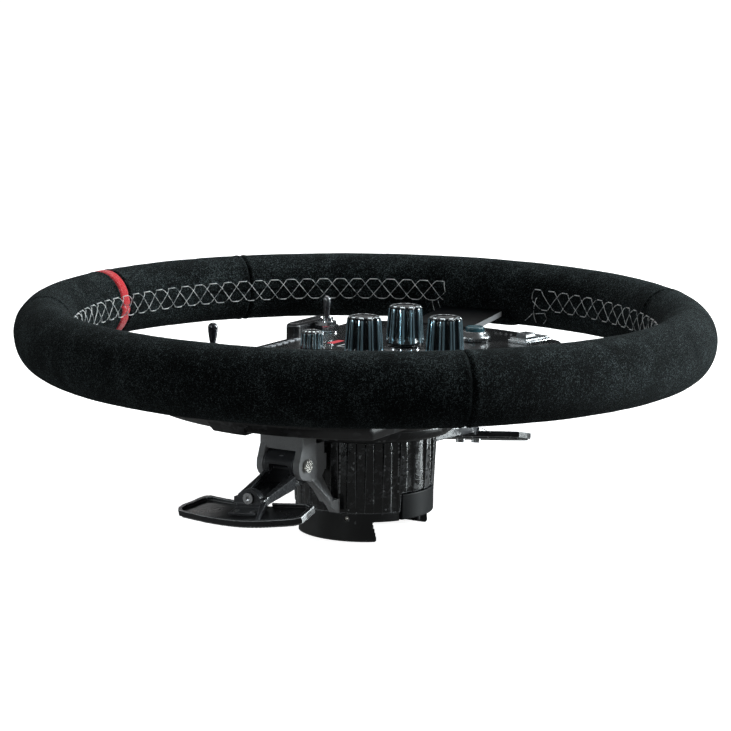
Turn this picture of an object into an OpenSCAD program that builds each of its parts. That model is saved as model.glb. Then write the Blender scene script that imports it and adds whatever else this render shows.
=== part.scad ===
// Sim-racing steering wheel: a padded round rim on a three-spoke frame, with a
// button box, a quick-release hub and a pair of shift paddles.
// Origin: bottom centre of the quick-release ring, on the axis of rotation.
// +Z points to the driver, +Y to 12 o'clock, +X to 3 o'clock.

/* [Rim] */
// Radius of the centre line of the grip
rim_r = 137.24; // [135:0.01:139]
// Half width of the grip section, across the radius
grip_a = 12.757; // [12:0.001:13.2]
// Half height of the grip section, along the axis
grip_b = 14.943; // [14:0.001:15.5]
// Height of the grip's centre plane above the origin
rim_z = 86; // [85.5:0.1:86.5]
// Thickness of the suede
suede_t = 1.2; // [0.8:0.1:1.6]
// Angle of the first upper seam, from 3 o'clock
seam_upper = 55.6; // [50:0.1:60]
// Angle of the lower left seam
seam_low_left = 226; // [220:1:230]
// Angle of the lower right seam
seam_low_right = 314; // [310:1:320]
// Width of the 12 o'clock band, in degrees
band_deg = 2.8; // [2:0.1:4]

/* [Spokes] */
// Lower edge of the side spokes
spoke_y0 = -1; // [-2:0.5:0]
// Upper edge of the side spokes
spoke_y1 = 29.5; // [27:0.5:30]
// Width of the lower spoke
low_spoke_w = 30; // [26:1:31]
// Radius of the circle of the six hub bolts
bolt_r = 35; // [35:1:35]

/* [Button box] */
// Radius of the side edges of the box
box_r = 99; // [98.5:0.1:99.5]
// Upper edge of the face plate
box_y1 = 53; // [52.5:0.1:53]
// Lower edge of the face plate
box_y0 = -52; // [-52.5:0.1:-51.8]
// Height of the face plate's front
face_z = 75; // [75:0.1:75]
// Thickness of the face plate
face_t = 3; // [3:0.1:3]

/* [Controls] */
// Half spacing of the two upper knobs
knob_x = 17.7; // [16:0.1:18]
// Height position of the two upper knobs
knob_y = -9.3; // [-11:0.1:-8]
// Height position of the lower knob
knob_low_y = -38.6; // [-39:0.1:-37]
// Radius of a knob's foot
knob_r1 = 8.4; // [7.8:0.05:8.5]
// Radius of a knob's top
knob_r2 = 7.2; // [6.8:0.05:7.4]
// Height of a knob
knob_h = 17; // [15:0.5:18]
// Height position of the small knob
small_y = 27; // [26:0.5:29]
// Sideways position of the toggles
tog_x = 47; // [45:0.5:49]
// Height position of the toggles
tog_y = 47.6; // [47:0.1:47.6]

/* [Hub] */
// Radius of the hub sleeve at its top
hub_r = 30.9; // [30.5:0.1:31.2]
// Number of ribs on the hub sleeve
rib_n = 25; // [20:1:28]
// Radius of the quick-release ring
qr_r = 29.6; // [29.4:0.1:29.8]
// Height of the quick-release ring
qr_h = 12.5; // [12:0.1:12.5]

/* [Paddles] */
// Sideways position of the hinge pins
hinge_x = 48; // [48:0.1:48]
// Height of the hinge pins
hinge_z = 35.5; // [35.5:0.1:35.5]
// Height of the paddle's lip
lip_z = 29.3; // [29.3:0.1:29.3]
// Depth of the paddle's edge
lip_h = 2.8; // [2.4:0.1:3]

/* [Hidden] */

$fn = 64;
e = 0.01;
frame_t = 4;                       // spoke frame thickness at the hub
plate_z0 = 52.2;                   // rear of the spoke frame's centre plate
plate_z1 = plate_z0 + frame_t;
face_z0 = face_z - face_t;
knob_z = 79;                       // foot of the three knobs
btn_x = 64.6;  btn_y = -18.8;      // round buttons
sq_x = 75;   sq_y = -41;           // rectangular buttons
sq_a = -12;                        // turn of the rectangular buttons
screw_xy = [[80, 43], [-80, 43], [86, -11], [-86, -11], [30, -45.5], [-30, -45.5]];
knob_xy = [[-knob_x, knob_y], [knob_x, knob_y], [0, knob_low_y]];

function ell(a, b, n = 44) = [for (i = [0 : n - 1]) [a * cos(360 * i / n), b * sin(360 * i / n)]];
function arc(cx, cy, r, a0, a1, n) = [for (i = [0 : n]) let (t = a0 + (a1 - a0) * i / n) [cx + r * cos(t), cy + r * sin(t)]];

module mirrored() { children(); mirror([1, 0, 0]) children(); }

// ---------------------------------------------------------------- spoke frame
// Side view of one spoke from the centre plate out to the rim, g grows it
module spoke_profile(g = 0) {
    polygon([
        [30, plate_z1 + g], [39.2, plate_z1 + g], [41, 57.8 + g], [52, 65.2 + g], [60, 67.2 + g], [89.5, 70.6 + g],
        [94, 75.1 + g], [126, 78.7 + g], [131, 79.8 + g], [142, 79.8 + g],
        [142, 77.2 - g], [131, 77.2 - g], [126, 76.2 - g], [95.2, 72.6 - g],
        [91, 67 - g], [60, 63.4 - g], [53, 61.6 - g], [38.5, plate_z0 - g], [30, plate_z0 - g]]);
}
module spoke_solid(y0, y1, g = 0) {
    translate([0, y1 + g, 0]) rotate([90, 0, 0]) linear_extrude(y1 - y0 + 2 * g) spoke_profile(g);
}
module all_spokes(g = 0) {
    spoke_solid(spoke_y0, spoke_y1, g);
    mirror([1, 0, 0]) spoke_solid(spoke_y0, spoke_y1, g);
    rotate([0, 0, -90]) spoke_solid(-low_spoke_w / 2, low_spoke_w / 2, g);
}
module spoke_frame() {
    color([0.08, 0.08, 0.085]) difference() {
        intersection() {
            union() {
                translate([0, 0, plate_z0]) cylinder(h = frame_t, r = 39.1);
                all_spokes();
            }
            // the roots follow the cone of the housing
            union() {
                translate([0, 0, 51]) cylinder(h = 8.9, r1 = 37.6, r2 = 49.9);
                translate([0, 0, 59.9]) cylinder(h = 30, r = 150);
            }
        }
        translate([0, 0, plate_z0 - 1]) cylinder(h = frame_t + 2, r = 22);
        for (i = [0 : 5]) rotate([0, 0, 30 + 60 * i]) translate([bolt_r, 0, plate_z0 - 1]) cylinder(h = frame_t + 2, r = 2.7);
        // lightening slot in the lower spoke
        rotate([0, 0, -90]) translate([88, 0, 60]) {
            translate([-9, 0, 0]) cylinder(h = 30, r = 6);
            translate([9, 0, 0]) cylinder(h = 30, r = 6);
            translate([-9, -6, 0]) cube([18, 12, 30]);
        }
    }
}

// ------------------------------------------------------------------------ rim
module rim_core() {
    color([0.45, 0.46, 0.48]) rotate_extrude($fn = 96) translate([131, 79.9]) square([12.4, 8]);
}
module rim_foam() {
    color([0.12, 0.12, 0.12]) difference() {
        rotate_extrude($fn = 96) translate([rim_r, rim_z]) polygon(ell(grip_a - suede_t - 0.05, grip_b - suede_t - 0.05));
        rotate_extrude($fn = 96) translate([130.9, 79.8]) square([12.6, 8.2]);
        all_spokes(0.1);
    }
}
module suede_arc(a0, a1) {
    difference() {
        rotate([0, 0, a0]) rotate_extrude(angle = a1 - a0, $fn = 96) translate([rim_r, rim_z]) difference() {
            polygon(ell(grip_a, grip_b));
            polygon(ell(grip_a - suede_t, grip_b - suede_t));
        }
        all_spokes(0.15);
    }
}
module suede_top_right() { color([0.05, 0.06, 0.06]) suede_arc(seam_upper + 0.05, 90 - band_deg / 2 - 0.03); }
module suede_top_left() { color([0.05, 0.06, 0.06]) suede_arc(90 + band_deg / 2 + 0.03, 180 - seam_upper - 0.05); }
module suede_left() { color([0.05, 0.06, 0.06]) suede_arc(180 - seam_upper + 0.05, seam_low_left - 0.05); }
module suede_bottom() { color([0.05, 0.06, 0.06]) suede_arc(seam_low_left + 0.05, seam_low_right - 0.05); }
module suede_right() { color([0.05, 0.06, 0.06]) suede_arc(seam_low_right + 0.05, 360 + seam_upper - 0.05); }
module centre_band() {
    color([0.85, 0.18, 0.18]) suede_arc(90 - band_deg / 2, 90 + band_deg / 2);
}
// two rows of thread either side of the inner seam
module thread_arc(a0, a1) {
    for (s = [-1, 1]) rotate([0, 0, a0]) rotate_extrude(angle = a1 - a0, $fn = 96)
        translate([rim_r - grip_a * sqrt(1 - pow(4.6 / grip_b, 2)) - 0.38, rim_z + 4.6 * s]) circle(r = 0.35, $fn = 16);
}
module rim_stitching() {
    color([0.85, 0.86, 0.86]) {
        thread_arc(13.5, 89);
        thread_arc(91, 166.5);
        thread_arc(188, 262);
        thread_arc(278, 352);
    }
}

// ----------------------------------------------------------------- button box
module box_slab(y0, y1, z0, z1, c) {
    // a bar along X whose two front edges are chamfered by c
    rotate([90, 0, 90]) translate([0, 0, -105]) linear_extrude(210)
        polygon([[y0, z0], [y1, z0], [y1, z1 - c], [y1 - c, z1], [y0 + c, z1], [y0, z1 - c]]);
}
module face_plate() {
    color([0.06, 0.06, 0.065]) difference() {
        intersection() {
            union() {
                translate([0, 0, face_z0]) cylinder(h = face_t - 0.8, r = box_r, $fn = 128);
                translate([0, 0, face_z - 0.8]) cylinder(h = 0.8, r1 = box_r, r2 = box_r - 0.8, $fn = 128);
            }
            box_slab(box_y0, box_y1, face_z0, face_z, 0.8);
        }
        // notches where the side spokes rise through
        mirrored() translate([88.5, spoke_y0 - 4, face_z0 - 1]) cube([20, spoke_y1 - spoke_y0 + 7.5, 6]);
        for (p = knob_xy) translate([p[0], p[1], face_z0 - 1]) cylinder(h = 6, r = 4.6);
        translate([0, small_y, face_z0 - 1]) cylinder(h = 6, r = 3.1);
        mirrored() {
            translate([tog_x, tog_y, face_z0 - 1]) cylinder(h = 6, r = 3.1);
            translate([btn_x, btn_y, face_z0 - 1]) cylinder(h = 6, r = 5.1);
            translate([sq_x, sq_y, face_z0 - 1]) rotate([0, 0, sq_a]) translate([-7.7, -4.2, 0]) cube([15.4, 8.4, 6]);
            for (i = [0 : 3]) translate([86.6 - 0.7, -18.2 - 2.6 * i - 0.7, face_z - 1]) cube([1.4, 1.4, 2]);
        }
        for (i = [-4 : 4]) translate([5.3 * i - 1.9, 46.4, face_z - 1]) cube([3.8, 2.2, 2]);
        for (p = screw_xy) translate([p[0], p[1], face_z0 - 1]) cylinder(h = 6, r = 1.6);
    }
}
module housing_solid(g) {
    // g = 0 outer skin, g = wall thickness for the hollow
    intersection() {
        rotate_extrude($fn = 128) polygon([
            [0, 49.6 + g], [41.4 - g * 0.8, 49.6 + g], [52 - g * 0.6, 57.3 + g], [93.8 - g, 57.3 + g],
            [98.5 - g, 62 + g * 0.5], [98.5 - g, 71.9 + g], [0, 71.9 + g]]);
        rotate([90, 0, 90]) translate([0, 0, -105]) linear_extrude(210) polygon([
            [box_y0 + 0.5 + g, 80], [box_y1 - 0.5 - g, 80], [box_y1 - 0.5 - g, 60.5], [50 - g, 57.3],
            [50 - g, 45], [-50 + g, 45], [-50 + g, 57.3], [box_y0 + 0.5 + g, 60.5]]);
    }
}
module rear_housing() {
    color([0.11, 0.115, 0.12]) difference() {
        union() {
            difference() { housing_solid(0); housing_solid(2.5); }
            // posts for the face plate screws
            intersection() {
                for (p = screw_xy) translate([p[0], p[1], 59]) cylinder(h = 12.9, r = 3.4);
                housing_solid(0);
            }
            // seats for the circuit board
            for (p = [[42, 40], [-42, 40], [55, -30], [-55, -30]]) translate([p[0], p[1], 58.5]) cylinder(h = 3.95, r = 3);
            // shallow stiffening steps on the underside of each side
            intersection() {
                mirrored() translate([76, 1.2, 55.8]) cube([22, 17.4, 4]);
                translate([0, 0, 50]) cylinder(h = 12, r1 = 88.5, r2 = 98.5, $fn = 128);
            }
        }
        for (p = screw_xy) translate([p[0], p[1], 62]) cylinder(h = 12, r = 1.45);
        // openings where the three spokes leave
        mirrored() translate([84, spoke_y0 - 2, 64.6]) cube([20, spoke_y1 - spoke_y0 + 4, 12]);
        translate([-low_spoke_w / 2 - 1.5, -70, 52.15]) cube([low_spoke_w + 3, 32, 24.3]);
        translate([0, 0, 45]) cylinder(h = 12, r = 22);
        for (i = [0 : 5]) rotate([0, 0, 30 + 60 * i]) translate([bolt_r, 0, 45]) cylinder(h = 12, r = 2.7);
    }
}
module toggle_guard() {
    difference() {
        union() {
            translate([33.4, 56.6, 66]) cylinder(h = 13, r = 3.4);
            translate([33.4, 56.6, 79]) cylinder(h = 1, r1 = 3.4, r2 = 2.4);
            translate([58.6, 56.6, 66]) cylinder(h = 13, r = 3.4);
            translate([58.6, 56.6, 79]) cylinder(h = 1, r1 = 3.4, r2 = 2.4);
            translate([33.4, 53.2, 66]) cube([25.2, 6.8, 13]);
            translate([33.4, 56.6, 79]) rotate([90, 0, 90]) linear_extrude(25.2) polygon([[-3.4, 0], [3.4, 0], [2.4, 1], [-2.4, 1]]);
        }
        translate([46, 56.6, 64]) cylinder(h = 10, r = 1.4);
    }
}
module toggle_guard_right() { color([0.1, 0.1, 0.11]) toggle_guard(); }
module toggle_guard_left() { color([0.1, 0.1, 0.11]) mirror([1, 0, 0]) toggle_guard(); }
module circuit_board() {
    color([0.05, 0.25, 0.12]) difference() {
        intersection() {
            translate([0, 0, 62.5]) cylinder(h = 1.6, r = 92, $fn = 128);
            translate([-95, -46.5, 60]) cube([190, 94, 6]);
        }
        mirrored() translate([44, spoke_y0 - 2, 60]) cube([66, spoke_y1 - spoke_y0 + 4, 8]);
        translate([-low_spoke_w / 2 - 2, -60, 60]) cube([low_spoke_w + 4, 17, 8]);
        translate([0, 0, 60]) cylinder(h = 8, r = 10);
        for (p = screw_xy) translate([p[0], p[1], 60]) cylinder(h = 8, r = 4.2);
    }
}
module cover_screws() {
    color([0.15, 0.15, 0.16]) for (p = screw_xy) translate([p[0], p[1], 0]) difference() {
        union() {
            translate([0, 0, 64]) cylinder(h = face_z - 64 + 0.5, r = 1.42, $fn = 32);
            translate([0, 0, face_z + 0.02]) cylinder(h = 1.0, r = 2.75, $fn = 32);
            translate([0, 0, face_z + 1.02]) cylinder(h = 0.6, r1 = 2.75, r2 = 2.0, $fn = 32);
        }
        translate([0, 0, face_z + 0.5]) cylinder(h = 3, r = 1.1, $fn = 6);
    }
}
module rev_light_lenses() {
    color([0.9, 0.9, 0.92, 0.8]) for (i = [-4 : 4]) translate([5.3 * i - 1.8, 46.5, face_z - 0.95]) cube([3.6, 2.0, 1.3]);
}
module status_lights() {
    color([0.8, 0.82, 0.84]) mirrored() for (i = [0 : 3]) translate([86.6 - 0.6, -18.2 - 2.6 * i - 0.6, face_z - 0.95]) cube([1.2, 1.2, 1.4]);
}

// ------------------------------------------------------------------- controls
// fluted tapered knob, its axis at the origin, foot at z = 0
module knob_solid(r1, r2, h, n, flute) {
    difference() {
        union() {
            cylinder(h = h - 1, r1 = r1, r2 = r2 + (r1 - r2) / h);
            translate([0, 0, h - 1]) cylinder(h = 1, r1 = r2 + (r1 - r2) / h, r2 = r2 - 0.9);
        }
        for (i = [0 : n - 1]) rotate([0, 0, 360 * (i + 0.5) / n]) translate([r1 + flute * 0.45, 0, 1.2]) rotate([0, -atan((r1 - r2) / h), 0]) cylinder(h = h + 2, r = flute, $fn = 24);
        // shallow dish in the top
        translate([0, 0, h - 0.5]) cylinder(h = 1, r = r2 - 2.2);
    }
}
module big_knob(p) {
    color([0.09, 0.1, 0.11]) translate([p[0], p[1], knob_z]) difference() {
        knob_solid(knob_r1, knob_r2, knob_h, 10, 1.5);
        translate([0, 0, -1]) cylinder(h = 12, r = 3.02);
    }
}
module knob_shaft(p) {
    color([0.75, 0.76, 0.78]) translate([p[0], p[1], 66.5]) cylinder(h = 23.4, r = 3, $fn = 32);
}
module knob_left() { big_knob(knob_xy[0]); }
module knob_right() { big_knob(knob_xy[1]); }
module knob_lower() { big_knob(knob_xy[2]); }
module knob_shaft_left() { knob_shaft(knob_xy[0]); }
module knob_shaft_right() { knob_shaft(knob_xy[1]); }
module knob_shaft_lower() { knob_shaft(knob_xy[2]); }
module small_knob() {
    color([0.09, 0.1, 0.11]) translate([0, small_y, 75.4]) difference() {
        knob_solid(5.05, 4.75, 8.6, 12, 0.7);
        translate([0, 0, -1]) cylinder(h = 2.6, r = 3.4);
        translate([0, 0, -1]) cylinder(h = 6.5, r = 1.52, $fn = 32);
    }
}
module small_knob_shaft() {
    color([0.75, 0.76, 0.78]) translate([0, small_y, 67]) cylinder(h = 13.7, r = 1.5, $fn = 32);
}
module knob_collars() {
    color([0.7, 0.71, 0.73]) for (p = knob_xy) translate([p[0], p[1], face_z + 0.03]) difference() {
        union() {
            cylinder(h = 1.6, r = 9.25);
            translate([0, 0, 1.6]) cylinder(h = 0.5, r1 = 9.25, r2 = 8.6);
            translate([0, 0, 2.1]) cylinder(h = 0.9, r = 7.2);
        }
        translate([0, 0, -1]) cylinder(h = 6, r = 4.55);
    }
}
module rotary_switch_bodies() {
    color([0.2, 0.2, 0.22]) {
        for (p = knob_xy) translate([p[0], p[1], 0]) difference() {
            union() {
                translate([-6.5, -6.5, 64.3]) cube([13, 13, 7.6]);
                translate([0, 0, 71]) cylinder(h = 7.4, r = 4.5);
            }
            translate([0, 0, 66.3]) cylinder(h = 14, r = 3.08);
        }
        translate([0, small_y, 0]) difference() {
            union() {
                translate([-4.7, -4.7, 64.8]) cube([9.4, 9.4, 7.1]);
                translate([0, 0, 71]) cylinder(h = 5.4, r = 3);
            }
            translate([0, 0, 66.8]) cylinder(h = 12, r = 1.56, $fn = 32);
        }
    }
}
module toggle_lever(tip) {
    sphere(r = 1.6, $fn = 32);
    // pivot barrel
    translate([-1.7, 0, 0]) rotate([0, 90, 0]) cylinder(h = 3.4, r = 1.05, $fn = 32);
    cylinder(h = 12.3, r1 = 1.15, r2 = tip, $fn = 32);
    translate([0, 0, 12.3]) sphere(r = tip, $fn = 32);
}
module toggle_lever_left() { color([0.12, 0.12, 0.14]) translate([-tog_x, tog_y, 77.5]) toggle_lever(1.65); }
module toggle_lever_right() { color([0.8, 0.81, 0.83]) translate([tog_x, tog_y, 77.5]) toggle_lever(1.5); }
module toggle_bushings() {
    color([0.78, 0.79, 0.8]) mirrored() translate([tog_x, tog_y, 0]) difference() {
        translate([0, 0, 72]) cylinder(h = 9.6, r = 3, $fn = 32);
        translate([0, 0, 71]) cylinder(h = 8.4, r = 2.1, $fn = 32);
        translate([0, 0, 79.3]) cylinder(h = 2.4, r1 = 2.1, r2 = 2.8, $fn = 32);
    }
}
module toggle_nuts() {
    color([0.8, 0.81, 0.83]) mirrored() translate([tog_x, tog_y, 0]) difference() {
        union() {
            translate([0, 0, face_z + 0.03]) cylinder(h = 0.8, r = 5.35);
            intersection() {
                translate([0, 0, face_z + 0.83]) rotate([0, 0, 10]) cylinder(h = 2.5, r = 5.4, $fn = 6);
                translate([0, 0, face_z - 6]) cylinder(h = 14, r1 = 12, r2 = 2.9);
            }
            translate([0, 0, face_z + 3.33]) rotate([0, 0, 34]) cylinder(h = 1.5, r = 4.9, $fn = 6);
        }
        translate([0, 0, face_z - 1]) cylinder(h = 8, r = 3.02, $fn = 32);
    }
}
module toggle_switch_bodies() {
    color([0.15, 0.16, 0.3]) mirrored() translate([tog_x - 4, tog_y - 5.4, 64.4]) cube([8, 6.9, 7.5]);
}
module round_button(s) {
    color([0.25, 0.6, 0.65]) translate([s * btn_x, btn_y, 0]) {
        translate([0, 0, 72.6]) cylinder(h = 7.9, r = 4.3);
        translate([0, 0, 80.5]) cylinder(h = 0.7, r1 = 4.3, r2 = 3.5);
    }
}
module round_button_left() { round_button(-1); }
module round_button_right() { round_button(1); }
module round_button_bezels() {
    color([0.82, 0.83, 0.85]) mirrored() translate([btn_x, btn_y, 0]) difference() {
        union() {
            translate([0, 0, face_z + 0.03]) rotate_extrude() polygon([[0, 0], [7.2, 0], [7.4, 0.3], [7.4, 1.5], [7.1, 2.2], [5.9, 3.5], [5.4, 4.2], [0, 4.2]]);
            translate([0, 0, 70]) cylinder(h = 6, r = 5);
        }
        translate([0, 0, 69]) cylinder(h = 14, r = 4.4);
    }
}
// turned frame with a low rocking key whose inner half carries a raised pad
module square_button() {
    color([0.2, 0.22, 0.24]) translate([sq_x, sq_y, 0]) rotate([0, 0, sq_a]) {
        translate([-6.4, -2.9, 72.4]) cube([12.8, 5.8, 4.2]);
        translate([-6.2, 2.7, 76.5]) rotate([90, 0, 0]) linear_extrude(5.4) polygon([[0, 0], [7, 0], [7, 2.2], [6.5, 2.8], [0.5, 2.8], [0, 2.2]]);
    }
}
module square_button_left() { mirror([1, 0, 0]) square_button(); }
module square_button_right() { square_button(); }
module square_button_bezels() {
    color([0.82, 0.83, 0.85]) mirrored() translate([sq_x, sq_y, 0]) rotate([0, 0, sq_a]) difference() {
        union() {
            translate([-8.8, -5.3, face_z + 0.03]) cube([17.6, 10.6, 1.4]);
            translate([-8.1, -4.6, face_z + 1.4]) cube([16.2, 9.2, 0.9]);
            translate([-7.6, -4.1, 70]) cube([15.2, 8.2, 6]);
        }
        translate([-6.5, -3.0, 69]) cube([13, 6, 12]);
    }
}
module button_switch_bodies() {
    color([0.18, 0.18, 0.2]) mirrored() {
        translate([btn_x, btn_y, 64.3]) cylinder(h = 5.6, r = 5);
        translate([btn_x, btn_y, 69.8]) cylinder(h = 1.2, r = 1.8, $fn = 32);
        translate([sq_x, sq_y, 64.4]) rotate([0, 0, sq_a]) translate([-7.5, -4, 0]) cube([15, 8, 5.5]);
        translate([sq_x, sq_y, 69.8]) cylinder(h = 1.0, r = 1.8, $fn = 32);
    }
}

// ------------------------------------------------------------------------ hub
module hub_flange() {
    color([0.13, 0.14, 0.15]) difference() {
        rotate_extrude($fn = 128) polygon([[19, 44.05], [35.6, 44.05], [37.4, 44.5], [38.7, 45.6], [39.4, 47.2], [39.6, 49.5], [19, 49.5]]);
        for (i = [0 : 5]) rotate([0, 0, 30 + 60 * i]) translate([bolt_r, 0, 46]) cylinder(h = 10, r = 2.55);
    }
}
module latch_pocket(g = 0) {
    translate([-14.2 - g, -36, 8.6]) cube([28.4 + 2 * g, 16.5, 12.1]);
}
module hub_sleeve() {
    // ribbed tube between the quick-release ring and the flange
    color([0.1, 0.105, 0.11]) difference() {
        intersection() {
            translate([0, 0, qr_h + 0.02]) linear_extrude(44 - qr_h - 0.02) polygon([
                for (i = [0 : rib_n - 1], k = [0 : 5])
                    let (w = 360 / rib_n, t = w * (i + [0.00, 0.10, 0.18, 0.62, 0.70, 1.0][k] * 0.999),
                         r = [hub_r + 0.4, hub_r + 0.2, hub_r - 1.1, hub_r - 1.1, hub_r + 0.2, hub_r + 0.4][k])
                    [r * cos(t), r * sin(t)]]);
            translate([0, 0, qr_h]) cylinder(h = 44 - qr_h, r1 = hub_r - 0.9, r2 = hub_r + 0.5, $fn = 128);
        }
        translate([0, 0, 0]) cylinder(h = 60, r = 18);
        latch_pocket();
    }
}
module hub_bolts() {
    color([0.3, 0.3, 0.32]) for (i = [0 : 5]) rotate([0, 0, 30 + 60 * i]) translate([bolt_r, 0, 0]) difference() {
        union() {
            translate([0, 0, 46.2]) cylinder(h = plate_z1 - 46.1, r = 2.5, $fn = 32);
            translate([0, 0, plate_z1 + 0.02]) cylinder(h = 2.8, r = 4, $fn = 32);
        }
        translate([0, 0, plate_z1 + 1.3]) cylinder(h = 3, r = 1.9, $fn = 6);
    }
}
module quick_release_ring() {
    color([0.09, 0.09, 0.095]) difference() {
        union() {
            translate([0, 0, 1]) cylinder(h = qr_h - 1, r = qr_r, $fn = 128);
            cylinder(h = 1, r1 = qr_r - 0.8, r2 = qr_r, $fn = 128);
        }
        // dovetail slot along Y, open downwards
        translate([0, 40, 0]) rotate([90, 0, 0]) linear_extrude(80) polygon([[-21.8, -1], [21.8, -1], [23.3, 8.7], [-23.3, 8.7]]);
        latch_pocket();
        // seat of the contact block
        translate([-7, -11, 6]) cube([14, 22, 10]);
        // radial set screw hole
        rotate([0, 0, 196]) translate([25, 0, 10.2]) rotate([0, 90, 0]) cylinder(h = 8, r = 1, $fn = 24);
    }
}
module release_latch() {
    color([0.13, 0.13, 0.14]) difference() {
        union() {
            intersection() {
                translate([-13.8, -32, 9.1]) cube([27.6, 8.6, 11]);
                cylinder(h = 40, r = 30.2, $fn = 128);
            }
            // locking tooth that drops into the slot
            translate([0, -25.6, 6.4]) cylinder(h = 3, r = 2.2, $fn = 32);
        }
        // spring pockets
        for (s = [-1, 1]) translate([8 * s, -23, 14.6]) rotate([90, 0, 0]) cylinder(h = 3.4, r = 2.3, $fn = 32);
    }
}
// coil along +Y, r = coil radius, w = wire radius
module coil(r, w, len, turns, steps) {
    n = turns * steps;
    m = 8;
    function pt(i, j) = let (t = 360 * i / steps, a = 360 * j / m)
        [(r + w * cos(a)) * cos(t), w * sin(a) + w + (len - 2 * w) * i / n, (r + w * cos(a)) * sin(t)];
    polyhedron(
        points = [for (i = [0 : n], j = [0 : m - 1]) pt(i, j)],
        faces = concat(
            [for (i = [0 : n - 1], j = [0 : m - 1]) [i * m + j, (i + 1) * m + j, (i + 1) * m + (j + 1) % m, i * m + (j + 1) % m]],
            [[for (j = [0 : m - 1]) j]], [[for (j = [m - 1 : -1 : 0]) n * m + j]]));
}
module latch_spring() {
    color([0.7, 0.7, 0.72]) for (s = [-1, 1]) translate([8 * s, -26.35, 14.6]) coil(1.7, 0.3, 3.6, 3, 14);
}
module contact_block() {
    color([0.16, 0.16, 0.17]) {
        difference() {
            translate([-6.9, -10.9, 7.2]) cube([13.8, 21.8, 7.4]);
            for (i = [-2 : 2]) translate([0, 4 * i, 6]) cylinder(h = 3, r = 0.95, $fn = 24);
        }
    }
}

// -------------------------------------------------------------------- paddles
// everything below is drawn for the left side and mirrored for the right
module paddle_bracket() {
    difference() {
        union() {
            // two hinge ears
            for (y = [0, 18]) translate([0, y + 3, 0]) rotate([90, 0, 0]) linear_extrude(3) union() {
                translate([-hinge_x, hinge_z]) circle(r = 6.2);
                polygon([[-50.4, 46.2], [-40.3, 46.2], [-40.2, 43.7], [-33.9, 43.7], [-33.4, 31], [-36.5, 28.2], [-45, 28.2], [-51, 30.2], [-54.1, 36.5]]);
            }
            // base under the housing and the stop wall
            translate([-51.2, 0, 46.2]) cube([11, 21, 3.8]);
            translate([-57, 0, 49.4]) cube([12, 21, 7.8]);
            translate([-51.2, 0, 41.9]) cube([1.8, 21, 4.4]);
            // tab to the hub
            translate([-35.4, 0, 31.5]) cube([3.4, 3, 7]);
            // gusset strut down to the hub
            hull() {
                translate([-43.5, 0.2, 27.6]) cube([8.5, 2.6, 1.4]);
                translate([-36.9, -5.4, 16.6]) cube([2.6, 2.4, 2.4]);
            }
            hull() {
                translate([-36.9, -5.4, 16.4]) cube([2.6, 2.4, 2.6]);
                translate([-33.2, -6.8, 13.4]) cube([1.2, 4.6, 6]);
            }
            // lower stiffening fillet behind the strut
            hull() {
                translate([-42, 0.2, 27.6]) cube([6.6, 2.6, 1]);
                translate([-34, -1.6, 17.5]) cube([1.8, 3.6, 2]);
            }
        }
        translate([-hinge_x, -5, hinge_z]) rotate([-90, 0, 0]) cylinder(h = 40, r = 2.02, $fn = 48);
        // clearance round the flange and the cone of the housing
        rotate_extrude($fn = 128) polygon([[0, 43.75], [39.9, 43.75], [39.9, 49.45], [41.5, 49.45], [52.15, 57.2], [52.15, 60], [0, 60]]);
        // clearance round the ribbed sleeve
        translate([0, 0, 0]) cylinder(h = 44.01, r = hub_r + 0.75, $fn = 128);
        // seat of the stop magnet
        translate([-50.95, 10.5, 44.1]) rotate([0, 90, 0]) cylinder(h = 3, r = 1.7, $fn = 32);
    }
}
module paddle_bracket_left() { color([0.5, 0.51, 0.53]) paddle_bracket(); }
module paddle_bracket_right() { color([0.5, 0.51, 0.53]) mirror([1, 0, 0]) paddle_bracket(); }
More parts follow.
